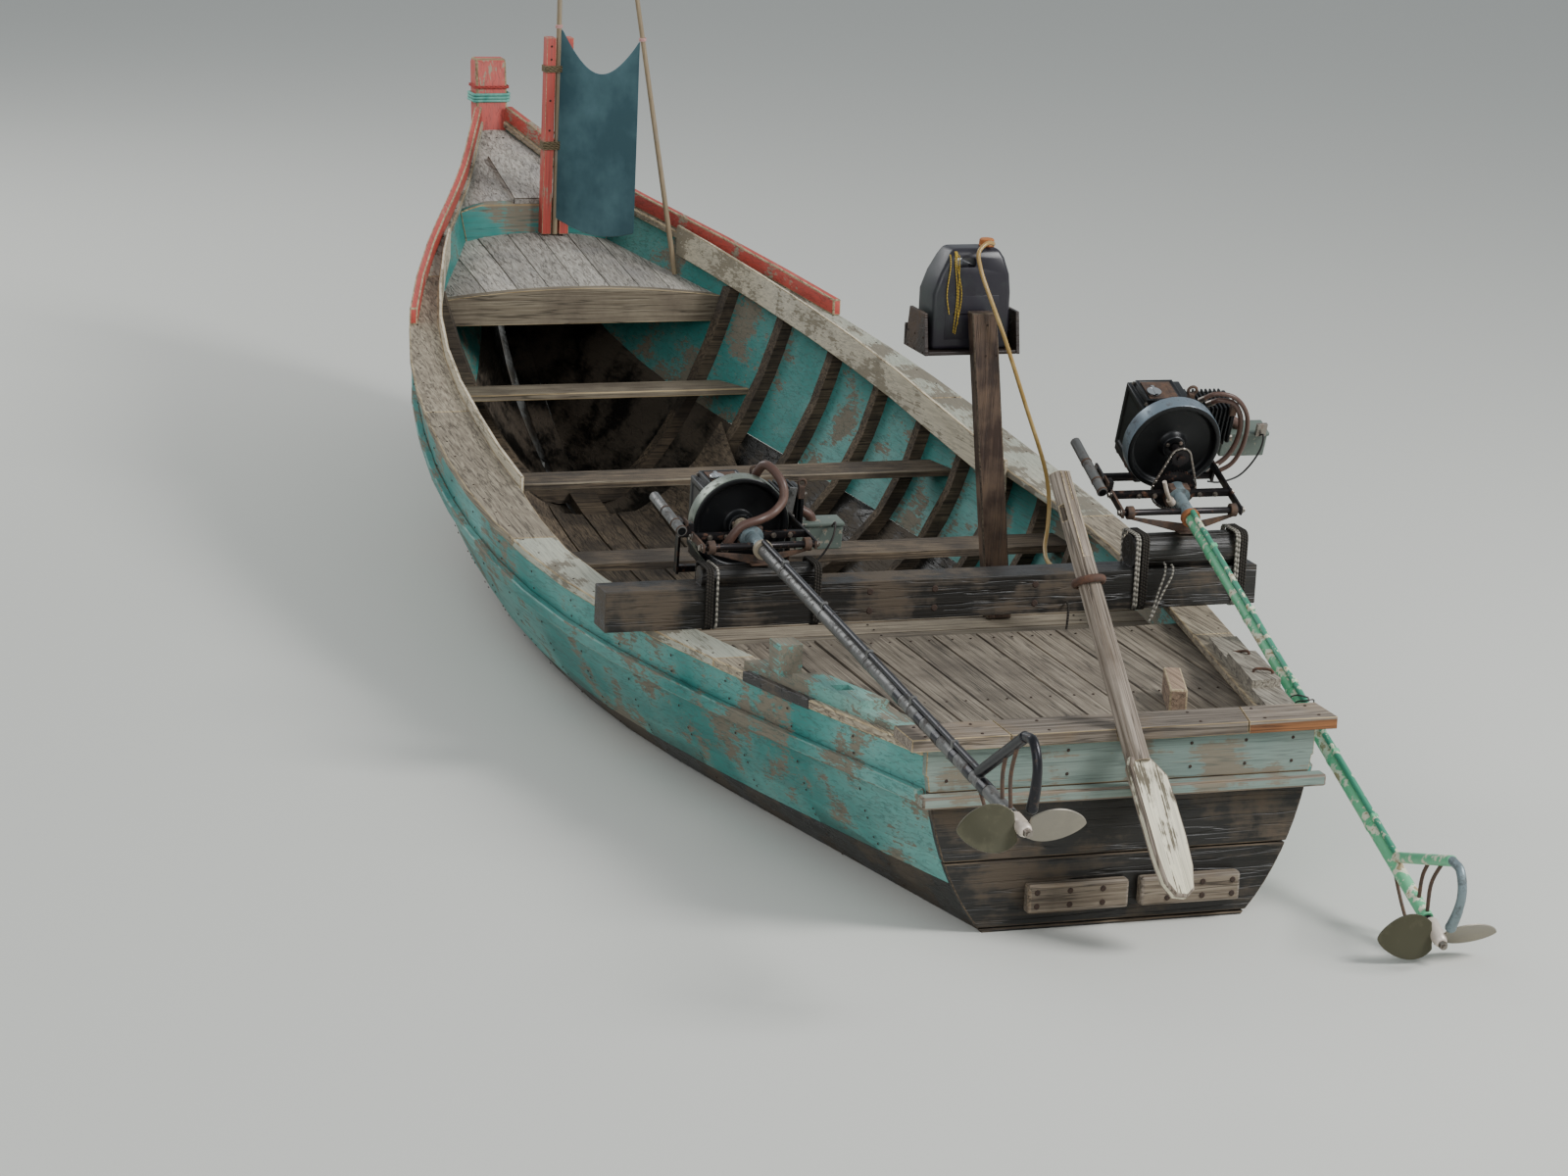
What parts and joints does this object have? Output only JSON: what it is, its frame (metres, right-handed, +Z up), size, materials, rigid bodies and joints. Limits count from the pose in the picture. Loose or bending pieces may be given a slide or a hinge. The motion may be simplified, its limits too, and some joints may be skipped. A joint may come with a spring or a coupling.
{
  "type": "longtail boat",
  "caption": "Wooden open boat afloat, with high raked bow, plank decks and thwarts, mast posts with a hung cloth, a loose rudder and swivelling engines that turn propellers on long tails",
  "frame": {"origin": "On the waterline, on the centre line at the after face of the transom board", "axes": "+X forward along the keel to the bow, +Y to port, +Z up"},
  "size_m": [10.3226, 3.0696, 2.9732],
  "materials": {
    "tarred_timber": "black tar brushed over rough planks, worn to grey at the edges",
    "teal_timber": "faded teal paint over planks, with streaks and bare edges",
    "weathered_timber": "bare grey weathered planks with open grain and nail holes",
    "cream_timber": "cream paint, worn and stained",
    "red_timber": "faded red paint with pale worn edges",
    "bamboo": "dry grey-brown bamboo",
    "cloth": "faded blue-green woven cloth",
    "dark_timber": "dark oily timber",
    "dark_plastic": "dusty dark green plastic",
    "clear_hose": "yellowed fuel hose",
    "rudder_timber": "grey weathered wood, cream painted blade",
    "rusty_iron": "rusty flat bar",
    "dark_steel": "dark oily steel with rust and bright worn edges",
    "engine_casting": "black oily castings",
    "green_tube": "chipped green paint over steel",
    "propeller_metal": "weathered grey and olive metal with pale worn edges"
  },
  "bodies": {
    "boat": {"keel_and_stem": "tarred_timber", "bottom_planking_port": "tarred_timber", "side_planking_port": "teal_timber", "rub_rail_port": "teal_timber", "gunwale_cap_port": "weathered_timber", "wash_rail_port": "red_timber", "coaming_port": "cream_timber", "bottom_planking_starboard": "tarred_timber", "side_planking_starboard": "teal_timber", "rub_rail_starboard": "teal_timber", "gunwale_cap_starboard": "weathered_timber", "wash_rail_starboard": "red_timber", "coaming_starboard": "cream_timber", "stem_post": "red_timber", "transom_board": "tarred_timber", "transom_top_plank": "weathered_timber", "transom_ledge": "weathered_timber", "transom_cap": "weathered_timber", "rudder_pad_port": "weathered_timber", "rudder_pad_starboard": "weathered_timber", "foredeck": "weathered_timber", "foredeck_beam": "teal_timber", "lower_foredeck": "weathered_timber", "lower_deck_beam": "weathered_timber", "ribs_and_keelson": "weathered_timber", "floor_boards": "weathered_timber", "middle_deck": "weathered_timber", "aft_deck": "weathered_timber", "thwart_aft": "weathered_timber", "thwart_middle": "weathered_timber", "thwart_fore": "weathered_timber", "quarter_block_port": "weathered_timber", "quarter_block_starboard": "weathered_timber", "crossbeam": "tarred_timber", "mast_posts": "red_timber", "mast_pole": "bamboo", "cloth_pole": "bamboo", "hung_cloth": "cloth", "fuel_stand": "dark_timber", "fuel_can": "dark_plastic", "fuel_hose": "clear_hose"},
    "starboard_swivel": {"yoke_starboard": "rusty_iron"},
    "starboard_engine": {"engine_frame_starboard": "dark_steel", "engine_starboard": "engine_casting", "tail_starboard": "green_tube", "skeg_starboard": "green_tube", "drive_chain_starboard": "dark_steel"},
    "starboard_flywheel": {"flywheel_starboard": "engine_casting"},
    "starboard_propeller": {"propeller_starboard": "propeller_metal", "drive_sprocket_starboard": "dark_steel"},
    "port_swivel": {"yoke_port": "rusty_iron"},
    "port_engine": {"engine_frame_port": "dark_steel", "engine_port": "engine_casting", "tail_port": "green_tube", "skeg_port": "green_tube"},
    "port_flywheel": {"flywheel_port": "engine_casting"},
    "port_propeller": {"propeller_port": "propeller_metal"},
    "rudder": {"rudder": "rudder_timber"}
  },
  "joints": [
    {"name": "starboard_swivel_turn", "type": "hinge", "parent": "boat", "child": "starboard_swivel", "pos_m": [1.945, -1.11, 1.045], "axis": [0, 0, 1], "range_deg": [0, 28]},
    {"name": "starboard_tail_tilt", "type": "hinge", "parent": "starboard_swivel", "child": "starboard_engine", "pos_m": [1.945, -1.11, 1.045], "axis": [0.0412, 0.9992, 0], "range_deg": [-5, 28]},
    {"name": "starboard_flywheel_spin", "type": "hinge", "parent": "starboard_engine", "child": "starboard_flywheel", "pos_m": [1.89244, -1.10783, 1.1908], "axis": [0.9398, -0.0387, 0.3394], "continuous": true},
    {"name": "starboard_propeller_spin", "type": "hinge", "parent": "starboard_engine", "child": "starboard_propeller", "pos_m": [1.945, -1.11, 1.045], "axis": [0.9398, -0.0387, 0.3394], "continuous": true},
    {"name": "port_swivel_turn", "type": "hinge", "parent": "boat", "child": "port_swivel", "pos_m": [1.945, 0.757, 0.97], "axis": [0, 0, -1], "range_deg": [-15, 28]},
    {"name": "port_tail_tilt", "type": "hinge", "parent": "port_swivel", "child": "port_engine", "pos_m": [1.945, 0.757, 0.97], "axis": [0.0105, 0.9999, 0], "range_deg": [0, 20]},
    {"name": "port_flywheel_spin", "type": "hinge", "parent": "port_engine", "child": "port_flywheel", "pos_m": [1.945, 0.757, 0.97], "axis": [0.9965, -0.0104, 0.0828], "continuous": true},
    {"name": "port_propeller_spin", "type": "hinge", "parent": "port_engine", "child": "port_propeller", "pos_m": [1.945, 0.757, 0.97], "axis": [0.9965, -0.0104, 0.0828], "continuous": true},
    {"name": "rudder_turn", "type": "hinge", "parent": "boat", "child": "rudder", "pos_m": [-0.098, 0, 0.735], "axis": [0.5505, 0.1018, 0.8286], "range_deg": [-150, 5]}
  ],
  "couplings": [
    {"joint": "starboard_propeller_spin", "follows": "starboard_flywheel_spin", "ratio": 0.43478},
    {"joint": "port_propeller_spin", "follows": "port_flywheel_spin", "ratio": 1}
  ]
}
